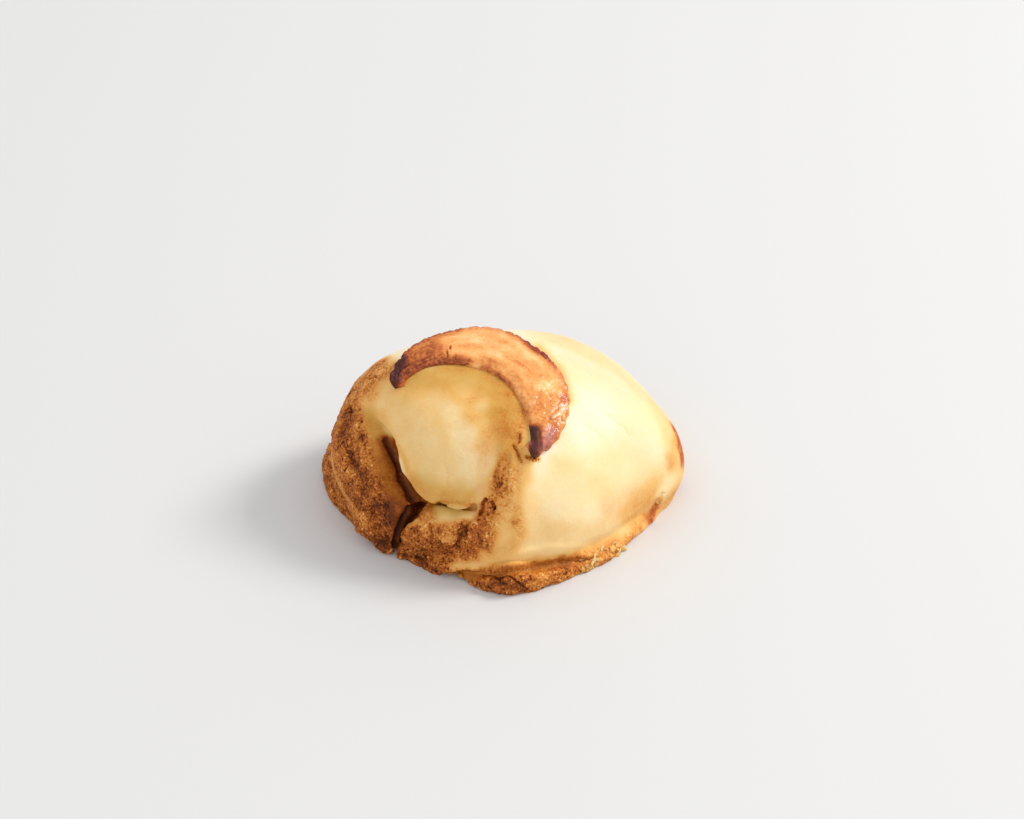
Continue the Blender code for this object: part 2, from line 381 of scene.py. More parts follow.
# Strokes that raise or sink the skin
swellStrokes = {
    "rollCrown": ([(372, 378), (352, 405), (340, 435), (342, 470), (358, 505)], 13, 0.8),
    "rollEnd": ([(364, 520), (378, 538)], 10, 0.5),
    "nose": ([(412, 545), (425, 532), (440, 528)], 12, 0.7),
    "keel": ([(488, 548), (491, 525), (498, 495), (507, 462), (511, 440)], 10, 1.2),
    "lipTop": ([(420, 515), (436, 510), (454, 509), (474, 509)], 6, 2.4),
    "keelEdge": ([(513, 452), (514, 475), (512, 500), (507, 525)], 3, 0.5),
    "overhang": ([(455, 564), (500, 561), (540, 551), (590, 549)], 6, 0.6),
    "footFront": ([(424, 562), (440, 568), (456, 573)], 8, 2.2),
    "footRight": ([(580, 570), (596, 564), (612, 556), (626, 547)], 6, 1.5),
}

ledgeStrokes = {
    "sheet": ([(436, 572), (460, 571), (500, 568), (520, 565), (545, 561), (600, 556)], 16, 2.1),
    "base": ([(322, 458), (327, 482), (338, 499), (352, 514), (360, 526)], 9, 0.9),
    "corner": ([(398, 553), (415, 556), (432, 565), (450, 573)], 9, 0.9),
}

cutStrokes = {
    "crease": ([(385, 440), (391, 450), (397, 465), (402, 480), (409, 495), (416, 506)], 3, 1),
    "gap": ([(410, 508), (403, 518), (398, 530), (395, 547)], 2.6, 2.3),
    "gapTop": ([(410, 509), (416, 509), (424, 506)], 4, 1.2),
    "pocketEdge": ([(424, 505), (436, 504), (446, 505)], 1.6, 0.9),
    "pocketUnder": ([(440, 506), (456, 508), (472, 507)], 4, 1.2),
    "notch": ([(467, 521), (463, 532), (457, 548)], 4, 1.5),
    "pitLeft": ([(485, 500), (481, 513)], 2.4, 1.2),
    "pitRight": ([(492, 501), (495, 508)], 2.4, 1),
    "footCrack": ([(480, 578), (487, 577), (496, 579), (508, 578), (516, 582), (523, 589)], 1.3, 1),
    "leftCrack": ([(408, 553), (425, 562), (440, 571), (455, 578)], 1.5, 0.8),
    "noseCrackA": ([(430, 524), (433, 531), (432, 538)], 1.5, 0.7),
    "noseCrackB": ([(441, 540), (440, 546), (444, 553)], 1.5, 0.7),
    "noseCrackC": ([(418, 528), (416, 540)], 1.5, 0.6),
    "rollSeam": ([(329, 462), (336, 485), (348, 505), (362, 524)], 1.8, 0.7),
    "endSwirlA": ([(366, 535), (374, 541), (384, 543)], 1.2, 0.5),
    "endSwirlB": ([(372, 531), (379, 536), (389, 538)], 1.2, 0.5),
    "bellyCrackA": ([(584, 422), (589, 425), (590, 431), (597, 433), (599, 438)], 0.9, 0.14),
    "bellyCrackB": ([(606, 415), (613, 417), (617, 424), (624, 426), (629, 435)], 0.9, 0.13),
    "pocketWrinkle": ([(447, 468), (450, 474), (447, 480), (450, 486)], 1.2, 0.16),
    "rollPitA": ([(350, 411)], 3.4, 0.9),
    "rollPitB": ([(346, 426), (343, 434)], 3, 0.9),
    "rollPitC": ([(349, 452), (352, 465)], 3.4, 1.1),
    "rollPitD": ([(362, 488), (366, 496)], 3.4, 0.9),
    "rollPitE": ([(371, 505), (373, 516)], 3, 0.9),
    "keelPitA": ([(505, 468), (503, 480)], 1.6, 0.5),
    "keelPitB": ([(498, 485)], 2.2, 0.6),
    "keelPitC": ([(519, 433), (518, 443)], 1.3, 0.6),
    "keelPitD": ([(514, 446), (519, 455), (521, 463)], 1.2, 0.6),
}

# How the crust breaks up: size of each pattern, and its height or depth, in mm
crustForm = {
    "lumps": (4.2, 0.9),
    "crumb": (0.9, 0.75),
    "waves": (9, 0.5),
    "warp": (2, 1),
    "plates": (4.6, 0.36),
    "platePatches": 7,
    "plateShares": (-0.25, 0.2),
    "chips": (1.3, 0.14),
    "chipsBetween": 0.5,
    "gap": 0.1,
    "pits": (1.7, 0.8),
    "pitReach": (0.4, 0.1),
    "pitPatches": 4,
    "pitShares": (0.05, 0.3),
    "keelMiddle": (2, -40),
    "keelReach": (15, 7),
    "keelDrawn": 0.6,
    "dimples": (6, 0.35),
}

# How baked the skin is under the strokes: plain on the side that the camera sees, golden at the
# back, and browner at the left and round the foot, with painted shade inside the folds. Plain and
# golden have a level to start from, and how far each kind of patch moves it. Lengths in mm.
bakeForm = {
    "broadSize": 11,
    "fineSize": 3.5,
    "goldenSize": 15,
    "uneven": (3, 1.2),
    "plain": (0.06, 0.05),
    "plainLow": 0.2,
    "plainHeights": (38, 12),
    "golden": (0.2, 0.2, 0.1, 0.08),
    "goldenLow": 0.1,
    "goldenHeights": (34, 12),
    "left": 0.6,
    "leftPlaces": (-33, -48),
    "leftUneven": 1.6,
    "leftHeights": (54, 40),
    "foot": 0.68,
    "footHeights": (11, 4),
    "footPaler": 0.26,
    "footPalerPlaces": (0, 35),
    "mottle": 0.1,
    "mottleBakes": (0.15, 0.45),
    "fold": 0.86,
    "foldShares": (0.45, 1),
}

# How much each place is baked, from 0 pale to 1 dark. Some strokes are painted shade, not baking:
# under the crescent, on the roll's inner slope and end, low in the pocket, in the lip's dent and
# the notch, and on the band under the ledge.
bakeAndShadingStrokes = {
    "crown": ([(404, 376), (388, 368), (374, 378)], 12, 0.35),
    "crownLeft": ([(381, 384), (387, 398), (389, 412)], 8, 0.27),
    "pocketRim": ([(380, 412), (387, 424), (394, 435), (400, 448)], 4, 0.36),
    "pocket": ([(420, 395), (425, 420), (440, 455), (455, 490)], 26, 0.25),
    "pocketMiddle": ([(432, 440), (446, 470)], 13, 0.21),
    # painted shade under the crescent, high in the pocket
    "pocketHighShade": ([(404, 396), (424, 392), (440, 394)], 10, 0.25),
    "pocketRidge": ([(460, 430), (468, 455), (473, 485)], 10, 0.15),
    "pocketLeft": ([(388, 392), (396, 412), (406, 438), (412, 462)], 10, 0.26),
    # painted shade where the pocket tucks in low down
    "pocketLowShade": ([(412, 478), (425, 493), (445, 498), (470, 497)], 7, 0.35),
    "pocketRight": ([(505, 395), (494, 420), (484, 445)], 13, 0.33),
    "pocketShoulder": ([(440, 385), (456, 391), (468, 401), (474, 416)], 13, 0.35),
    "bellyHigh": ([(552, 332), (590, 344), (625, 366), (652, 394), (664, 420)], 27, 0.18),
    "bellyTop": ([(570, 365), (605, 385), (640, 425), (650, 450)], 17, 0.1),
    "bellyMiddle": ([(560, 480), (600, 470), (630, 470)], 22, 0.15),
    "bellyGold": ([(556, 462), (590, 480), (610, 500)], 10, 0.18),
    "bellyPale": ([(560, 508), (592, 512)], 13, 0.12),
    "keelSide": ([(512, 486), (513, 510), (520, 540)], 13, 0.4),
    "keelFar": ([(530, 500), (540, 535)], 10, 0.22),
    "bellyLow": ([(525, 550), (560, 543), (600, 532), (620, 524)], 11, 0.21),
    "orangeSide": ([(626, 516), (643, 502), (656, 488)], 11, 0.33),
    "rimGlow": ([(654, 400), (668, 425), (674, 450), (672, 475)], 8, 0.24),
    "nearRim": ([(676, 440), (674, 465)], 6, 0.34),
    "rim": ([(673, 424), (679, 440), (683, 462)], 3.5, 0.5),
    "sheetRight": ([(575, 572), (600, 562), (622, 549)], 5, 0.56),
    "sheetFarRight": ([(640, 533), (655, 516)], 4, 0.32),
    "paleFoot": ([(661, 496), (666, 487), (671, 478)], 6, 0.15),
    # painted shadow of the crescent on the dome
    "crescentShadow": (
        [(404, 388), (422, 378), (445, 374), (470, 376), (490, 386), (505, 402)], 12, 0.29,
    ),
    "outsideCrescent": ([(538, 350), (556, 372), (566, 398)], 9, 0.31),
    "besideCrescent": ([(490, 372), (508, 388), (518, 410), (522, 432)], 8, 0.46),
    "rimShade": (
        [(440, 367), (476, 367), (492, 374), (506, 385), (517, 401), (524, 424)], 3.4, 0.44,
    ),
    "shoulderShade": ([(462, 396), (480, 392), (494, 398)], 9, 0.36),
    "underTip": ([(514, 436), (519, 452), (524, 466)], 8, 0.5),
    "keel": ([(476, 562), (486, 535), (494, 510), (502, 485), (509, 462)], 15, 0.5),
    "keelCore": ([(468, 552), (478, 532), (488, 514), (497, 494), (503, 478)], 8, 0.62),
    "keelFlank": ([(523, 446), (525, 462), (526, 480)], 7, 0.34),
    "keelMiddle": ([(502, 476), (506, 462)], 7, 0.5),
    "keelTop": ([(500, 416), (507, 436), (512, 458)], 11, 0.4),
    "byTheTip": ([(520, 398), (525, 415), (526, 438)], 6, 0.48),
    "pinkBand": ([(485, 445), (482, 465), (479, 492)], 5, 0.26),
    "keelLow": ([(430, 552), (455, 558), (475, 556)], 11, 0.52),
    "keelFoot": ([(488, 553), (512, 548)], 10, 0.34),
    "keelBase": ([(487, 530), (488, 547)], 7, 0.58),
    "rollUpper": ([(382, 367), (369, 381), (361, 399)], 14, 0.5),
    "rollMiddle": ([(348, 402), (342, 430), (344, 460), (358, 490)], 20, 0.58),
    "rollLow": ([(362, 494), (373, 516), (384, 542)], 19, 0.76),
    "slopeHigh": ([(370, 404), (373, 418), (376, 436)], 7, 0.35),
    # painted shade: the roll's inner slope lies in the pocket's shadow, darkest low down
    "shadedSlope": ([(377, 442), (380, 456), (387, 478), (396, 500)], 8, 0.4),
    "shadedSlopeLow": ([(384, 462), (390, 480), (396, 500)], 7, 0.54),
    "crustEdge": (
        [(357, 412), (359, 432), (363, 443), (370, 456), (378, 479), (387, 500), (390, 520)],
        4.6, 0.66,
    ),
    "rollCore": ([(348, 420), (345, 432), (350, 450), (360, 470), (369, 490), (376, 512)], 6, 0.78),
    "rollRidge": ([(331, 450), (336, 475), (348, 503), (362, 521)], 4, 0.48),
    # painted shade on the roll's end, where it turns into the gap
    "rollEnd": ([(388, 506), (392, 520), (387, 540)], 10, 0.92),
    "baseLeft": ([(324, 450), (322, 475), (331, 500), (345, 515)], 5, 0.66),
    "nose": ([(402, 535), (418, 545), (440, 552), (462, 560)], 17, 0.68),
    "lipFace": ([(422, 527), (446, 529), (462, 526)], 7, 0.62),
    # painted shade in the notch
    "notch": ([(464, 525), (462, 534), (457, 546)], 4, 0.8),
    "sheetFront": ([(410, 562), (440, 576), (470, 585), (500, 588), (520, 588)], 11, 0.74),
    "sheetFrontRight": ([(525, 585), (548, 580), (575, 572)], 9, 0.62),
    # painted shade on the band under the overhanging ledge
    "sheetBandShade": (
        [(455, 577), (480, 576), (505, 573), (525, 570), (550, 567), (575, 563)], 4.5, 0.58,
    ),
    "aboveLedge": ([(456, 566), (480, 565), (500, 561), (520, 557), (545, 554)], 4.5, 0.26),
}

# Narrow dark or pale lines, laid over the strokes above. The dark lines in the crease, its corner,
# the gap, under the pocket's edge, in the pits, under the crescent's tip and under the ledge are
# painted shade.
bakeAndShadingLines = {
    "lipInner": ([(440, 507), (456, 506), (472, 506)], 5, 0.25),
    # painted shade in the lip's dent
    "lipDentShade": ([(421, 516), (434, 514)], 5.5, 0.5),
    "lipTop": ([(441, 513), (452, 512), (470, 512)], 6, 0.24),
    # painted shade: the crease, its corner, the gap and the line under the pocket's edge darken
    # toward black
    "creaseTopShade": ([(380, 428), (383, 433), (387, 441)], 2.4, 0.44),
    "creaseSideShade": ([(382, 442), (389, 458), (394, 472), (400, 486), (407, 500)], 6, 0.68),
    "crease": (
        [(385, 438), (390, 449), (395, 461), (400, 475), (406, 488), (412, 499), (420, 506)],
        4, 0.84,
    ),
    "corner": ([(402, 505), (406, 511), (401, 521)], 5, 0.8),
    "pocketSide": (
        [(398, 446), (403, 458), (408, 471), (413, 484), (420, 495), (428, 501)], 3, 0.36,
    ),
    "gap": ([(411, 508), (404, 518), (398, 530), (395, 547)], 3.2, 0.86),
    "gapTop": ([(409, 508), (416, 508), (424, 506)], 3, 0.9),
    "pocketEdge": ([(424, 505), (436, 504), (450, 503), (474, 503)], 1, 0.6),
    # painted shade in the pits
    "pitLeft": ([(486, 500), (483, 506), (480, 514)], 1.7, 0.74),
    "pitRight": ([(490, 501), (494, 504), (495, 511)], 1.7, 0.74),
    "keelLineA": ([(499, 462), (496, 476), (498, 488)], 1, 0.7),
    "keelLineB": ([(514, 446), (519, 455), (521, 463)], 1.1, 0.74),
    "keelLineC": ([(519, 433), (518, 443)], 1.2, 0.76),
    "keelLineD": ([(488, 515), (484, 530), (478, 545)], 1.2, 0.72),
    "redFoot": ([(658, 500), (654, 511), (650, 522)], 3.2, 0.52),
    "tipShade": ([(527, 457), (533, 460), (539, 459)], 2.4, 0.8),
    # painted shadow line under the overhanging ledge
    "ledgeShadow": (
        [(440, 572), (460, 571), (500, 568), (520, 565), (542, 562), (566, 559), (592, 557)],
        1.1, 0.7,
    ),
}

# Where the dough is smooth and tinted olive. The olive tint is painted shade: inside the folds, on
# the roll's shaded slope, under the crescent and under the overhangs
oliveStrokes = {
    "pocket": ([(415, 395), (430, 430), (450, 480)], 32, 0.12),
    # painted shade, olive, where the pocket tucks in low down
    "pocketLowShade": ([(420, 482), (440, 493), (465, 493)], 12, 0.6),
    # painted shadow of the crescent, olive
    "crescentShadow": ([(415, 378), (445, 374), (475, 376), (498, 390), (512, 412)], 15, 0.75),
    # painted shade: olive on the roll's inner slope
    "shadedSlope": ([(369, 414), (373, 432), (379, 452), (386, 474), (395, 498), (396, 530)], 8, 1),
    "keelTop": ([(496, 412), (505, 432), (512, 452)], 13, 0.75),
    "crease": (
        [(378, 424), (384, 433), (390, 445), (395, 458), (400, 472), (406, 488), (414, 502)],
        5, 1,
    ),
    "corner": ([(402, 505), (406, 511), (401, 521)], 5, 1),
    "pocketEdge": ([(426, 505), (440, 504), (460, 504)], 4, 0.9),
    "lipTop": ([(424, 517), (434, 514), (446, 511), (460, 510)], 7, 0.25),
    # painted shade, olive, on the band under the ledge
    "sheetBandShade": ([(455, 577), (480, 576), (505, 572), (525, 567), (550, 563), (575, 561)], 5, 1),
}

# Where it is baked red
blushStrokes = {
    "rim": ([(673, 424), (678, 436), (682, 452), (684, 466)], 3.2, 0.9),
    "rimInner": ([(668, 455), (670, 468)], 3, 0.4),
    "rimLow": ([(659, 499), (654, 510), (649, 520)], 3, 0.9),
    "spotA": ([(633, 537)], 3, 0.8),
    "spotB": ([(641, 532)], 2.6, 0.8),
    "bellyGlow": ([(612, 505), (630, 498)], 14, 0.15),
    "topGlow": ([(568, 345), (598, 362), (628, 386)], 22, 0.1),
    "keelGlow": ([(500, 430), (494, 455)], 9, 0.2),
    "pinkBand": ([(485, 445), (482, 465), (479, 492)], 6, 0.35),
    "pocketGlow": ([(462, 425), (470, 450), (474, 475)], 10, 0.12),
    "keelLeft": ([(480, 512), (476, 535), (468, 552)], 6, 0.25),
}


def foldsOf(skin):
    # the share of each place's outlook that skin close by shuts in, which sets the painted shade in
    # the folds
    form = pastryForm
    hits = np.zeros(len(skin["points"]))
    starts = (skin["points"] + form["foldStart"] * skin["normals"]) * mm
    reach = form["foldDepth"] * mm
    for lean in form["foldLeans"]:
        ways = skin["normals"] + np.array(lean)
        ways /= np.linalg.norm(ways, axis=1)[:, None] + 1e-9
        found = [skin["tree"].ray_cast(start, way, reach)[0] for start, way in zip(starts, ways)]
        hits += [hit is not None for hit in found]
    return blur(skin, hits / len(form["foldLeans"]), form["foldBlur"])


def unseenOf(skin):
    # 1 where the camera can't look at the skin because it faces away
    back = cameraPlace - skin["points"]
    back /= np.linalg.norm(back, axis=1)[:, None]
    return smoothStep(*photoView["facesAway"], (back * skin["normals"]).sum(axis=1))


def bakeAndShadingOf(skin, folds):
    # the crust is brown at its left and round its foot, and paler on its right, with painted shade
    #     # in its folds and creases
    form = bakeForm
    points = skin["points"]
    across, height = points[:, 0], points[:, 2]
    broad = noiseAt(points, form["broadSize"])
    fine = noiseAt(points, form["fineSize"], 7)
    patches = noiseAt(points, form["goldenSize"], 31)
    byBroad, byFine = form["uneven"]
    uneven = byBroad * broad + byFine * fine
    left = smoothStep(*form["leftPlaces"], across + form["leftUneven"] * uneven)
    left *= smoothStep(*form["leftHeights"], height + uneven)
    foot = smoothStep(*form["footHeights"], height + uneven)
    footBake = form["foot"] - form["footPaler"] * smoothStep(*form["footPalerPlaces"], across)
    start, byPatches, byBroad, byFine = form["golden"]
    golden = start + byPatches * patches + byBroad * broad + byFine * fine
    golden += form["goldenLow"] * smoothStep(*form["goldenHeights"], height)
    start, byBroad = form["plain"]
    level = start + byBroad * broad
    level += form["plainLow"] * smoothStep(*form["plainHeights"], height)
    level = mixed(level, golden, unseenOf(skin))
    level = mixed(level, form["left"], left)
    level = mixed(level, footBake, foot)
    level = blur(skin, paint(level, skin, bakeAndShadingStrokes), pastryForm["bakeBlur"])
    level += form["mottle"] * (broad + fine) * smoothStep(*form["mottleBakes"], level)
    # painted shade: the skin darkens where skin close by shuts it in, deep in the folds
    level = mixed(level, form["fold"], smoothStep(*form["foldShares"], folds))
    return blur(skin, paint(level, skin, bakeAndShadingLines), pastryForm["lineBlur"])


def gapsAt(points, size):
    # 1 in the gaps between scattered cells of this size, 0 inside them
    cells = cellsAt(points, size)
    return smoothStep(crustForm["gap"], 0, cells[:, 1] - cells[:, 0])


def crackedCrust(points):
    # plates with gaps between them, small chips, and pits here and there, in mm
    form = crustForm
    size, reach = form["warp"]
    warped = points + reach * vectorsAt(points, size)
    fromKeel = np.linalg.norm(points[:, :2] - np.array(form["keelMiddle"]), axis=1)
    warped[:, 2] *= 1 - form["keelDrawn"] * smoothStep(*form["keelReach"], fromKeel)
    size, depth = form["plates"]
    patchy = smoothStep(*form["plateShares"], noiseAt(points, form["platePatches"], 3))
    relief = -depth * gapsAt(warped, size) * patchy
    size, depth = form["chips"]
    relief -= depth * gapsAt(warped + size, size) * (1 - form["chipsBetween"] * patchy)
    size, depth = form["pits"]
    patchy = smoothStep(*form["pitShares"], noiseAt(points, form["pitPatches"], 17))
    pits = smoothStep(*form["pitReach"], cellsAt(warped - size, size)[:, 0])
    return relief - depth * pits * patchy


def strongest(skin, strokes, **settings):
    # the deepest of the strokes at each place: pixels, half width, depth
    depths = np.zeros(len(skin["points"]))
    for pixels, wide, depth in strokes.values():
        depths = np.maximum(depths, depth * brush(skin, pixels, wide, **settings))
    return depths


def sculptPastry():
    print("sculpting the baked skin")
    form = pastryForm
    piece = copyOfNode("pastry_shell", "bakedPastry")
    evenSkin(piece, form)
    skin = skinOf(piece)
    points = skin["points"]
    plain = np.zeros(len(points))
    folds = foldsOf(skin)
    bakeAndShading = bakeAndShadingOf(skin, folds)
    oliveShade = blur(skin, paint(plain, skin, oliveStrokes), form["tintBlur"])
    # painted shade: olive deep inside the folds
    oliveShade = np.maximum(oliveShade, smoothStep(*form["foldOlive"], folds))
    blush = blur(skin, paint(plain, skin, blushStrokes), form["blushBlur"])
    rough = smoothStep(*form["roughBakes"], bakeAndShading)
    rough *= 1 - form["oliveSmooths"] * smoothStep(*form["smoothOlives"], oliveShade)

    moves = np.zeros(len(points))
    for pixels, wide, rise in swellStrokes.values():
        moves += rise * brush(skin, pixels, wide, taper=True)
    cuts = strongest(skin, cutStrokes)
    ledges = strongest(skin, ledgeStrokes, under=True)
    crust = np.flatnonzero(rough > form["leastRough"])
    cracks = np.zeros(len(points))
    cracks[crust] = crackedCrust(points[crust]) * rough[crust]
    size, depth = crustForm["dimples"]
    dimples = depth * noiseAt(points, size, 21) * unseenOf(skin)
    moves += cracks - cuts - ledges + dimples
    # painted shade: darker in the cuts, notches and pits
    bakeAndShading = np.minimum(bakeAndShading + form["cutShade"] * cuts, 1)
    writePoints(piece, points + skin["normals"] * moves[:, None])

    print("roughening the crust")
    before, facing = readPoints(piece), readNormals(piece)
    addMask(piece, "rough", rough)
    addMask(piece, "smooth", 1 - rough)
    addDisplace(piece, "lumps", "CLOUDS", *crustForm["lumps"], "rough", noise_depth=1)
    addDisplace(piece, "crumb", "CLOUDS", *crustForm["crumb"], "rough", noise_depth=2)
    addDisplace(piece, "waves", "CLOUDS", *crustForm["waves"], "smooth", noise_depth=2)
    applyAll(piece)
    after = readPoints(piece)
    relief = ((after - before) * facing).sum(axis=1) * rough
    # cracks and cuts count as sunk, for the painted shade in the material
    relief = relief + form["crackRelief"] * cracks - form["cutRelief"] * cuts
    writePoints(piece, after)
    addShares(piece, {"bakeAndShading": bakeAndShading, "oliveShade": oliveShade, "blush": blush, "relief": relief})
    thinSkin(piece, form)
    writePoints(piece, readPoints(piece))
    return piece


def newMaterial(name):
    material = bpy.data.materials.new(name)
    material.use_nodes = True
    return material, material.node_tree, material.node_tree.nodes["Principled BSDF"]


def fill(tree, node, inputs):
    # each input takes a link or a value
    for socket, value in inputs.items():
        if isinstance(value, bpy.types.NodeSocket):
            tree.links.new(value, node.inputs[socket])
        else:
            node.inputs[socket].default_value = value


def addNode(tree, kind, inputs=None, **settings):
    node = tree.nodes.new("ShaderNode" + kind)
    for setting, value in settings.items():
        setattr(node, setting, value)
    fill(tree, node, inputs or {})
    return node


def addRamp(tree, share, stops):
    ramp = addNode(tree, "ValToRGB", {0: share})
    elements = ramp.color_ramp.elements
    while len(elements) > 1:
        elements.remove(elements[-1])
    elements[0].position, elements[0].color = stops[0]
    for place, shade in stops[1:]:
        elements.new(place).color = shade
    return ramp.outputs[0]


def scaled(tree, value, factor, more=0, clamp=False):
    inputs = {0: value, 1: factor, 2: more}
    return addNode(tree, "Math", inputs, operation="MULTIPLY_ADD", use_clamp=clamp).outputs[0]


def addMix(tree, share, first, second, blend="MIX"):
    node = addNode(tree, "Mix", {0: share, 6: first, 7: second}, data_type="RGBA", blend_type=blend)
    return node.outputs[2]


def addNoise(tree, place, size, detail=3, roughness=0.6):
    # patches of this size in mm, from 0 to 1
    inputs = {"Vector": place, "Scale": 1 / (size * mm), "Detail": detail, "Roughness": roughness}
    return addNode(tree, "TexNoise", inputs).outputs[0]


def addSpread(tree, value, low, high):
    # stretched so that low gives 0 and high gives 1
    return addNode(tree, "MapRange", {0: value, 1: low, 2: high}).outputs[0]


def addReaders(tree, names):
    # the numbers at each point of the piece
    return [addNode(tree, "Attribute", attribute_name=name).outputs["Fac"] for name in names]


def addShift(tree, place, size, strength):
    # patches that go up and down by half this strength
    return scaled(tree, addNoise(tree, place, size), strength, -0.5 * strength)


def addBump(tree, height, strength, distance):
    inputs = {"Strength": strength, "Distance": distance * mm, "Height": height}
    return addNode(tree, "Bump", inputs).outputs[0]


# Colours of the crust as it bakes, and how far each pattern moves them. A noise pattern is its
# size in mm, its detail and its roughness; a pair is two limits, or a factor and what is added.
pastryPaint = {
    "stages": [
        (0, (250, 234, 208)), (0.14, (247, 220, 166)), (0.3, (238, 187, 110)),
        (0.46, (219, 144, 64)), (0.62, (188, 106, 38)), (0.8, (142, 70, 18)), (1, (80, 34, 4)),
    ],
    "patches": (9, 0.1),
    "mottle": (2.6, 0.34),
    "specks": (0.6, 0.76),
    # relief: painted shade, darker where the skin sinks
    "relief": -0.32,
    "pinholes": (0.9, 0.4),
    "crumbs": (1.3, -0.3),
    "spotDetail": (2, 0.5),
    "spotShares": (0.56, 0.7),
    "crustyBakes": (0.3, 0.62),
    "oliveCalms": (-0.75, 1),
    "leastCrusty": 0.12,
    "oliveShade": 0.85,
    "oliveTint": (214, 205, 140),
    "redTint": (176, 66, 36),
    "redPattern": (1.6, 3, 0.6),
    "redShares": (0.35, 0.62),
    "redness": (0.5, 0.45),
    "grain": (0.6, 4, 0.7),
    "grainHeight": (0.8, 0.2),
    "skin": (2.2, 3, 0.5),
    "bump": (0.6, 0.22),
    "roughness": (0.22, 0.4),
    "subsurface": 0.12,
    "subsurfaceColours": (1, 0.6, 0.3),
    "subsurfaceReach": 2,
    "specular": 0.18,
}


def pastryMaterial():
    form = pastryPaint
    material, tree, shader = newMaterial("bakedCrust")
    place = addNode(tree, "TexCoord").outputs["Object"]
    bakeAndShading, oliveShade, blush, relief = addReaders(tree, ("bakeAndShading", "oliveShade", "blush", "relief"))
    calm = scaled(tree, oliveShade, *form["oliveCalms"])
    crusty = scaled(tree, addSpread(tree, bakeAndShading, *form["crustyBakes"]), calm)
    share = scaled(tree, crusty, 1, form["leastCrusty"])
    dark = scaled(tree, addShift(tree, place, *form["patches"]), 1, bakeAndShading)
    for pattern in ("mottle", "specks"):
        dark = scaled(tree, addShift(tree, place, *form[pattern]), share, dark)
    for pattern in ("pinholes", "crumbs"):
        size, strength = form[pattern]
        spots = addNoise(tree, place, size, *form["spotDetail"])
        spots = addSpread(tree, spots, *form["spotShares"])
        dark = scaled(tree, spots, scaled(tree, crusty, strength), dark)
    # painted shade: darker where the skin sinks in cracks, cuts and hollows
    dark = scaled(tree, relief, form["relief"], dark, clamp=True)
    shade = addRamp(tree, dark, [(stop, colour(*tone)) for stop, tone in form["stages"]])
    # painted shade: the olive tint darkens the dough where it lies in shade
    oliveShare = scaled(tree, oliveShade, form["oliveShade"])
    shade = addMix(tree, oliveShare, shade, colour(*form["oliveTint"]), "MULTIPLY")
    mottled = addSpread(tree, addNoise(tree, place, *form["redPattern"]), *form["redShares"])
    redness = scaled(tree, blush, scaled(tree, mottled, *form["redness"]))
    shade = addMix(tree, redness, shade, colour(*form["redTint"]))
    height = addNoise(tree, place, *form["skin"])
    grainHeight = scaled(tree, crusty, *form["grainHeight"])
    height = scaled(tree, addNoise(tree, place, *form["grain"]), grainHeight, height)
    fill(tree, shader, {
        "Base Color": shade,
        "Normal": addBump(tree, height, *form["bump"]),
        "Roughness": scaled(tree, crusty, *form["roughness"]),
        "Subsurface Weight": form["subsurface"],
        "Subsurface Radius": form["subsurfaceColours"],
        "Subsurface Scale": form["subsurfaceReach"] * mm,
        "Specular IOR Level": form["specular"],
    })
    return material


# The glazed crescent: a round of dough less another round of the same radius. Places and
# sizes in mm, angles round its middle in degrees. Along is the share of the way from the
# horn to the tip, across that from the inner edge to the outer, and most pairs are limits.
crescentForm = {
    "grain": 0.25,
    "softenSteps": 5,
    "triangles": 120000,
    "middle": (-6.3, -9.9),
    "biteMiddle": (-17.8, -28.4),
    "radius": 26.5,
    "flatSide": (46, 34, 4.5),
    "tipWidth": 3.4,
    "heart": (-4.3, 1.1, -5),
    "horn": 171,
    "tip": -54,
    "turnStart": -114,
    "topTurns": (-0.1, 0.5),
    "underTurns": (0, -0.5),
    "sink": 0.9,
    "innerSink": 0.6,
    "innerSinkAcross": (0.22, 0),
    "broadSize": 3,
    "fineSize": 1,
    "plainBake": 0.34,
    "bakeBlur": 24,
    "edgeAcross": (0.78, 1),
    "edgeUneven": 0.03,
    "innerAcross": (0.3, 0.02),
    "innerUneven": 0.14,
    "innerAlong": (0.25, 0.45),
    "innerBake": 0.1,
    "innerFine": 0.14,
    "broadBake": 0.05,
    "flutes": 25,
    "fluteUneven": 0.006,
    "crimpDepth": 0.4,
    "crimpSharp": 3,
    "crimpLeast": 0.25,
    "crimpUneven": (0.5, 0.6),
    "crimpAcross": (0.78, 0.98),
    "crimpAlong": (0.66, 0.5),
    "streakRows": (5, 6),
    "streakDepth": 0.15,
    "fineStreaks": (0.4, 0.3),
    "brushedIn": (0.12, 0.3),
    "brushedOut": (0.95, 0.75),
    "blisterAlong": (0.68, 0.78),
    "blisterSize": 2.6,
    "blisterWarp": (1.4, 0.7),
    "blisterReach": (0.8, 0.1),
    "blisterUneven": (0.5, 0.8),
    "blisterRise": 0.5,
    "blisterLow": 0.3,
    "crustyBakes": (0.42, 0.6),
    "crackRows": (9, 16),
    "crackWidth": 0.12,
    "crackDepth": 0.3,
    "crustRise": (0.2, 0.3),
    "fineRise": 0.06,
    "glossIn": (0.25, 0.4),
    "glossOut": (0.97, 0.9),
    "plainGloss": 0.35,
    "edgeBlush": 1.8,
    "redSpot": ([(564, 396), (564, 402)], 4),
    "redSpotBlush": 0.5,
    # painted sheen: lavender on the tip's side and on the blister tops
    "sheenTip": ([(547, 446), (551, 430)], 6),
    "sheenReliefs": (0.1, 0.3),
    "pits": {
        "holeA": ([(450, 346), (450, 348)], 1.1, 0.9),
        "holeB": ([(446, 351), (447, 355)], 1, 0.7),
        "holeC": ([(456, 355), (456, 357)], 0.9, 0.5),
        "hornFold": ([(404, 368), (416, 361), (430, 356)], 1.4, 0.35),
        "tipFold": ([(541, 432), (541, 445), (544, 455)], 1.8, 0.5),
    },
}

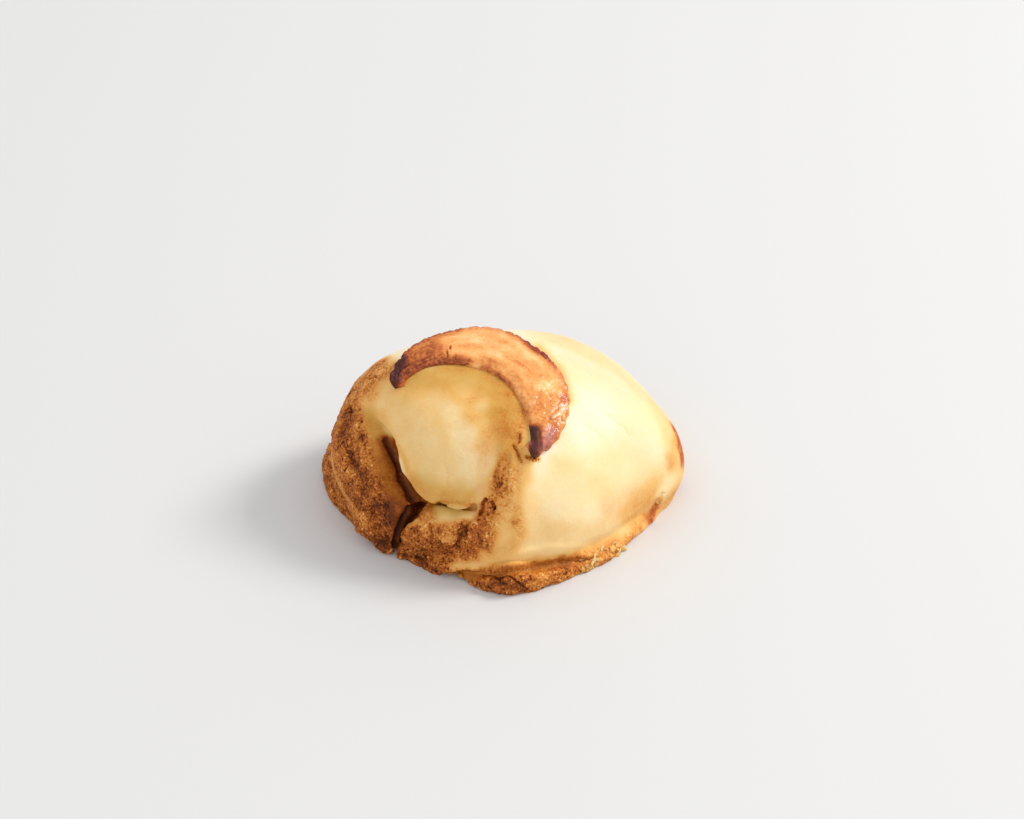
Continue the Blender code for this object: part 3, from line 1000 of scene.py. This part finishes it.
crescentBake = {
    "leftPart": ([(402, 368), (414, 356), (432, 348)], 13, 0.57),
    "middle": ([(470, 346), (495, 350), (518, 362)], 8, 0.3),
    "middleRight": ([(505, 350), (524, 360)], 7, 0.24),
    "leftTop": ([(412, 346), (436, 334), (458, 330)], 5, 0.5),
    "innerLeft": ([(402, 380), (420, 366), (446, 360), (470, 360)], 5, 0.66),
    "innerRight": ([(476, 362), (490, 367), (504, 378), (516, 394), (526, 420)], 3.6, 0.44),
    "rightBand": ([(510, 358), (530, 374), (544, 394)], 9, 0.34),
    "paleSpot": ([(541, 385), (550, 388)], 6, 0.16),
    "blisters": ([(540, 402), (552, 414), (548, 430)], 12, 0.42),
    "redSpot": ([(564, 396), (564, 402)], 4, 0.46),
    "horn": ([(392, 388), (393, 376), (399, 362)], 8, 1),
    # the tip's side paler, as painted sheen of the glaze
    "tipSideSheen": ([(547, 448), (550, 432)], 7, 0.5),
    "tip": ([(534, 462), (534, 448), (535, 430)], 6.5, 1),
}

# The dark red edge: shares of the way from the horn to the tip, and how dark it is there
crescentEdge = [
    (0.25, 0.1), (0.42, 0.12), (0.5, 0.2), (0.56, 0.46),
    (0.63, 0.54), (0.66, 0.3), (0.7, 0.14), (0.82, 0.08),
]


def alongAndAcross(points):
    # shares of the way from the horn to the tip, and from the inner edge to the outer
    form = crescentForm
    away = points[:, :2] - np.array(form["middle"])
    angle = np.degrees(np.arctan2(away[:, 1], away[:, 0]))
    angle = np.where(angle < form["turnStart"], angle + 360, angle)
    along = (form["horn"] - angle) / (form["horn"] - form["tip"])
    middle, spread, depth = form["flatSide"]
    edge = form["radius"] - depth * np.exp(-(((angle - middle) / spread) ** 2))
    far = np.linalg.norm(away, axis=1)
    bite = np.array(form["biteMiddle"]) - np.array(form["middle"])
    towards = (away @ bite) / far
    near = towards + np.sqrt(np.maximum(towards**2 - bite @ bite + form["radius"] ** 2, 0))
    near = np.minimum(near, edge - form["tipWidth"])
    return along, (far - near) / (edge - near)


def inRows(along, across, rows):
    # places in a flat pattern that is drawn out along the crescent
    return np.stack([along * rows[0], across * rows[1], np.zeros(len(along))], axis=1)


def sculptCrescent():
    print("sculpting the glazed crescent")
    form = crescentForm
    piece = copyOfNode("glazed_crescent", "glazedCrescent")
    evenSkin(piece, form)
    skin = skinOf(piece)
    points, normals = skin["points"], skin["normals"]
    outward = points - np.array(form["heart"])
    outward /= np.linalg.norm(outward, axis=1)[:, None]
    upness = (normals * outward).sum(axis=1)
    top = smoothStep(*form["topTurns"], upness)
    along, across = alongAndAcross(points)
    broad, fine = noiseAt(points, form["broadSize"]), noiseAt(points, form["fineSize"])

    bakeAndShading = paint(np.full(len(points), form["plainBake"]), skin, crescentBake)
    bakeAndShading = blur(skin, bakeAndShading, form["bakeBlur"])
    edgeBand = smoothStep(*form["edgeAcross"], across + form["edgeUneven"] * broad)
    edgeBand *= np.interp(along, *zip(*crescentEdge))
    innerRim = smoothStep(*form["innerAcross"], across + form["innerUneven"] * broad)
    innerRim *= smoothStep(*form["innerAlong"], along)
    bakeAndShading = bakeAndShading + edgeBand + innerRim * (form["innerBake"] + form["innerFine"] * fine)
    bakeAndShading = np.minimum(bakeAndShading + form["broadBake"] * broad, 1)

    flute = np.abs(np.sin(math.pi * form["flutes"] * (along + form["fluteUneven"] * broad)))
    start, byBroad = form["crimpUneven"]
    crimps = (1 - flute) ** form["crimpSharp"] * smoothStep(*form["crimpAcross"], across)
    crimps *= start + byBroad * broad
    crimps *= mixed(form["crimpLeast"], 1, smoothStep(*form["crimpAlong"], along))
    drawn = inRows(along, across, form["streakRows"])
    size, share = form["fineStreaks"]
    streaks = noiseAt(drawn, 1) + share * noiseAt(drawn, size, 5)
    brushed = smoothStep(*form["brushedIn"], along) * smoothStep(*form["brushedOut"], along)
    blisterShare = smoothStep(*form["blisterAlong"], along)
    wide, narrow = form["blisterWarp"]
    warped = points + wide * broad[:, None] + narrow * fine[:, None]
    cells = cellsAt(warped, form["blisterSize"])
    start, byBroad = form["blisterUneven"]
    blisters = smoothStep(*form["blisterReach"], cells[:, 0]) * (start + byBroad * broad)
    crusty = smoothStep(*form["crustyBakes"], bakeAndShading) * (1 - blisterShare)
    rows = inRows(along, across, form["crackRows"])
    rowCracks = smoothStep(form["crackWidth"], 0, np.abs(noiseAt(rows, 1, 9))) * crusty
    relief = form["streakDepth"] * streaks * brushed - form["crimpDepth"] * crimps
    relief = relief + form["blisterRise"] * (blisters - form["blisterLow"]) * blisterShare
    wide, narrow = form["crustRise"]
    crustRelief = crusty * (wide * broad + narrow * fine) - form["crackDepth"] * rowCracks
    relief += crustRelief + form["fineRise"] * fine
    for pixels, wide, depth in form["pits"].values():
        relief -= depth * brush(skin, pixels, wide)

    sunk = form["sink"] * smoothStep(*form["underTurns"], upness)
    sunk += form["innerSink"] * top * smoothStep(*form["innerSinkAcross"], across)
    writePoints(piece, points + normals * (relief * top)[:, None] - outward * sunk[:, None])
    gloss = smoothStep(*form["glossIn"], along)
    gloss *= form["plainGloss"] + (1 - form["plainGloss"]) * blisterShare
    redSpot = form["redSpotBlush"] * brush(skin, *form["redSpot"])
    # painted sheen: lavender glints on the raised blister tops
    blisterSheen = blisterShare * smoothStep(*form["sheenReliefs"], relief) * top
    addShares(piece, {
        "bakeAndShading": bakeAndShading,
        "relief": relief * top,
        "streak": streaks * brushed,
        "gloss": gloss * smoothStep(*form["glossOut"], along),
        "blush": np.clip(form["edgeBlush"] * edgeBand, 0, 1) + redSpot,
        "paintedSheen": brush(skin, *form["sheenTip"]) + blisterSheen,
    })
    thinSkin(piece, form)
    return piece


crescentPaint = {
    "stages": [
        (0, (254, 222, 172)), (0.2, (250, 196, 128)), (0.36, (238, 162, 88)),
        (0.52, (206, 116, 50)), (0.66, (160, 76, 32)), (0.82, (104, 40, 20)), (1, (64, 22, 12)),
    ],
    "mottle": (2.2, 0.24),
    "specks": (0.7, 0.28),
    "streaks": 0.22,
    # relief: painted shade in the glaze's hollows, paler on the raised blisters
    "relief": -0.26,
    "redShare": 0.5,
    "redTint": (176, 40, 30),
    "sheenShare": 0.24,
    "sheenTint": (188, 140, 156),
    "grain": (0.5, 4, 0.7),
    "bump": (0.4, 0.12),
    "roughness": (-0.44, 0.62),
    "specular": 0.4,
}


def crescentMaterial():
    form = crescentPaint
    material, tree, shader = newMaterial("glazedCrust")
    place = addNode(tree, "TexCoord").outputs["Object"]
    names = ("bakeAndShading", "relief", "streak", "gloss", "blush", "paintedSheen")
    bakeAndShading, relief, streak, gloss, blush, paintedSheen = addReaders(tree, names)
    dark = scaled(tree, streak, form["streaks"], bakeAndShading)
    # painted shade in the glaze's hollows, paler on the raised blisters
    dark = scaled(tree, relief, form["relief"], dark)
    dark = scaled(tree, addShift(tree, place, *form["mottle"]), 1, dark)
    dark = scaled(tree, addShift(tree, place, *form["specks"]), 1, dark, clamp=True)
    shade = addRamp(tree, dark, [(stop, colour(*tone)) for stop, tone in form["stages"]])
    redShare = scaled(tree, blush, form["redShare"])
    shade = addMix(tree, redShare, shade, colour(*form["redTint"]))
    # painted sheen: lavender mixed in on the blister tops and the tip's side
    sheenShare = scaled(tree, paintedSheen, form["sheenShare"], clamp=True)
    shade = addMix(tree, sheenShare, shade, colour(*form["sheenTint"]))
    fill(tree, shader, {
        "Base Color": shade,
        "Normal": addBump(tree, addNoise(tree, place, *form["grain"]), *form["bump"]),
        "Roughness": scaled(tree, gloss, *form["roughness"]),
        "Specular IOR Level": form["specular"],
    })
    return material


# The flakes: some scattered over the brown crust, and heaps of them, each with its pixels,
# half width, how many, how baked and how much larger. Sizes and heights in mm.
flakeForm = {
    "seed": 7,
    "scattered": 120,
    "crustBakes": (0.5, 0.6),
    "leastBake": 0.4,
    "bakeSpread": (-0.12, 0.08),
    "bakeLimits": (0.04, 0.8),
    "scatteredAbove": 1,
    "heapedAbove": 0.5,
    "long": (0.35, 1),
    "wide": (0.5, 0.9),
    "thick": 0.17,
    "tilt": 0.4,
    "sink": 0.1,
    "ragged": 0.3,
    "mostRagged": 1.2,
    "heaps": {
        "frontRight": ([(588, 565), (602, 558), (616, 549)], 8, 44, 0.34, 1.5),
        "keelEdge": ([(513, 470), (514, 490), (511, 510)], 4, 8, 0.38, 0.9),
        "farRight": ([(663, 484), (657, 500)], 4, 9, 0.32, 1.3),
        "frontLeft": ([(428, 566), (452, 577), (476, 588)], 6, 18, 0.55, 1.1),
        "rollFoot": ([(326, 468), (336, 498), (352, 520)], 6, 18, 0.6, 1.1),
    },
}


def flakePlaces(skinPiece):
    # places, tones and sizes of the flakes: over the rough crust, and near the heaps
    form = flakeForm
    chance = np.random.default_rng(form["seed"])
    skin = skinOf(skinPiece)
    height = skin["points"][:, 2]
    bakeAndShading = readRows(skinPiece.data.attributes["bakeAndShading"].data, "value", 1)[:, 0]
    crust = smoothStep(*form["crustBakes"], bakeAndShading) * (height > form["scatteredAbove"])
    shares = crust / crust.sum()
    chosen = list(chance.choice(len(bakeAndShading), form["scattered"], replace=False, p=shares))
    tones = [max(form["leastBake"], level) for level in bakeAndShading[chosen]]
    sizes = [1] * len(chosen)
    for pixels, wide, count, tone, larger in form["heaps"].values():
        near = brush(skin, pixels, wide) * (height > form["heapedAbove"])
        chosen += list(chance.choice(len(bakeAndShading), count, replace=False, p=near / near.sum()))
        tones += [tone] * count
        sizes += [larger] * count
    return skin["points"][chosen], skin["normals"][chosen], tones, sizes, chance


def makeFlakes(skinPiece):
    print("scattering the flakes")
    form = flakeForm
    bpy.ops.mesh.primitive_ico_sphere_add(subdivisions=2, radius=mm)
    flake = bpy.context.object
    flake.name = flake.data.name = "looseFlakes"
    shape = readPoints(flake)
    faces = np.array([face.vertices[:] for face in flake.data.polygons])
    spots, normals, tones, sizes, chance = flakePlaces(skinPiece)
    points, shares = [], []
    most = form["mostRagged"]
    for spot, normal, tone, larger in zip(spots, normals, tones, sizes):
        facing = Vector(normal + chance.normal(0, form["tilt"], 3)).normalized()
        turn = np.array(facing.to_track_quat("Z", "Y").to_matrix())
        size = larger * chance.uniform(*form["long"])
        size = size * np.array((1, chance.uniform(*form["wide"]), form["thick"]))
        dents = np.clip(chance.normal(0, 1, (len(shape), 1)), -most, most)
        flakePoints = (shape * (1 + form["ragged"] * dents) * size) @ turn.T
        points.append(spot - form["sink"] * normal + flakePoints)
        shares.append(np.full(len(shape), tone + chance.uniform(*form["bakeSpread"])))
    stacked = np.concatenate([faces + k * len(shape) for k in range(len(points))])
    places = np.clip(np.concatenate(points), boxLow, boxHigh)
    flake.data.clear_geometry()
    flake.data.from_pydata((places * mm).tolist(), [], stacked.tolist())
    bakeAndShading = np.clip(np.concatenate(shares), *form["bakeLimits"])
    none = np.zeros(len(bakeAndShading))
    addShares(flake, {"bakeAndShading": bakeAndShading, "oliveShade": none, "blush": none, "relief": none})
    return flake


def finishPiece(piece, material, node=None):
    piece.data.materials.clear()
    piece.data.materials.append(material)
    selectOnly(piece)
    bpy.ops.object.shade_smooth()
    if node:
        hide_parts(node)
    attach(piece, "root")


# The floor, the room and the lamps: where each lamp stands, its size, watts and tint. Lengths
# in m.
studio = {
    "lamps": {
        "keyLight": ((0.72, 0.16, 0.67), 0.7, 35.5, (1, 0.97, 0.93)),
        "fillLight": ((-0.3, -0.8, 0.6), 1.6, 4.8, (1, 1, 1)),
    },
    "lampsAway": 2.4,
    "sky": (0.98, 0.99, 1, 1),
    "skyStrength": 0.78,
    "floorSize": 4,
    "floor": (0.71, 0.71, 0.71, 1),
    "floorCloudy": (0.6958, 0.6958, 0.6958, 1),
    "cloudScale": 3,
    "floorRoughness": 0.7,
    "nearest": 0.01,
}


def setStudio():
    print("setting the floor, the light and the camera")
    bpy.ops.mesh.primitive_plane_add(size=studio["floorSize"], location=(0, 0, 0))
    floor = bpy.context.object
    floor.name = "paleFloor"
    material, tree, shader = newMaterial("paleFloor")
    place = addNode(tree, "TexCoord").outputs["Object"]
    cloudy = addNode(tree, "TexNoise", {"Vector": place, "Scale": studio["cloudScale"]}).outputs[0]
    shade = addMix(tree, cloudy, studio["floor"], studio["floorCloudy"])
    fill(tree, shader, {"Base Color": shade, "Roughness": studio["floorRoughness"]})
    floor.data.materials.append(material)
    for name, (place, size, watts, tint) in studio["lamps"].items():
        direction = Vector(place).normalized()
        bpy.ops.object.light_add(
            type="AREA",
            location=direction * studio["lampsAway"],
            rotation=direction.to_track_quat("Z", "Y").to_euler(),
        )
        light = bpy.context.object
        light.name = name
        light.data.size = size
        light.data.energy = watts
        light.data.color = tint
    world = bpy.data.worlds.new("paleRoom")
    world.use_nodes = True
    background = world.node_tree.nodes["Background"]
    background.inputs[0].default_value = studio["sky"]
    background.inputs[1].default_value = studio["skyStrength"]
    bpy.context.scene.world = world
    bpy.context.scene.view_settings.view_transform = "Standard"
    bpy.ops.object.camera_add(
        location=Vector(cameraPlace) * mm,
        rotation=(math.radians(90 - photoView["lookDown"]), 0, 0),
    )
    camera = bpy.context.object
    camera.data.lens = photoView["lens"]
    camera.data.sensor_width = photoView["sensor"]
    camera.data.clip_start = studio["nearest"]
    bpy.context.scene.camera = camera


setStudio()
pastry = sculptPastry()
crust = pastryMaterial()
finishPiece(pastry, crust, "pastry_shell")
flakes = makeFlakes(pastry)
finishPiece(flakes, crust)
crescent = sculptCrescent()
finishPiece(crescent, crescentMaterial(), "glazed_crescent")

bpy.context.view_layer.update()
for piece in (pastry, flakes, crescent):
    print(piece.name, "triangles:", sum(len(face.vertices) - 2 for face in piece.data.polygons))
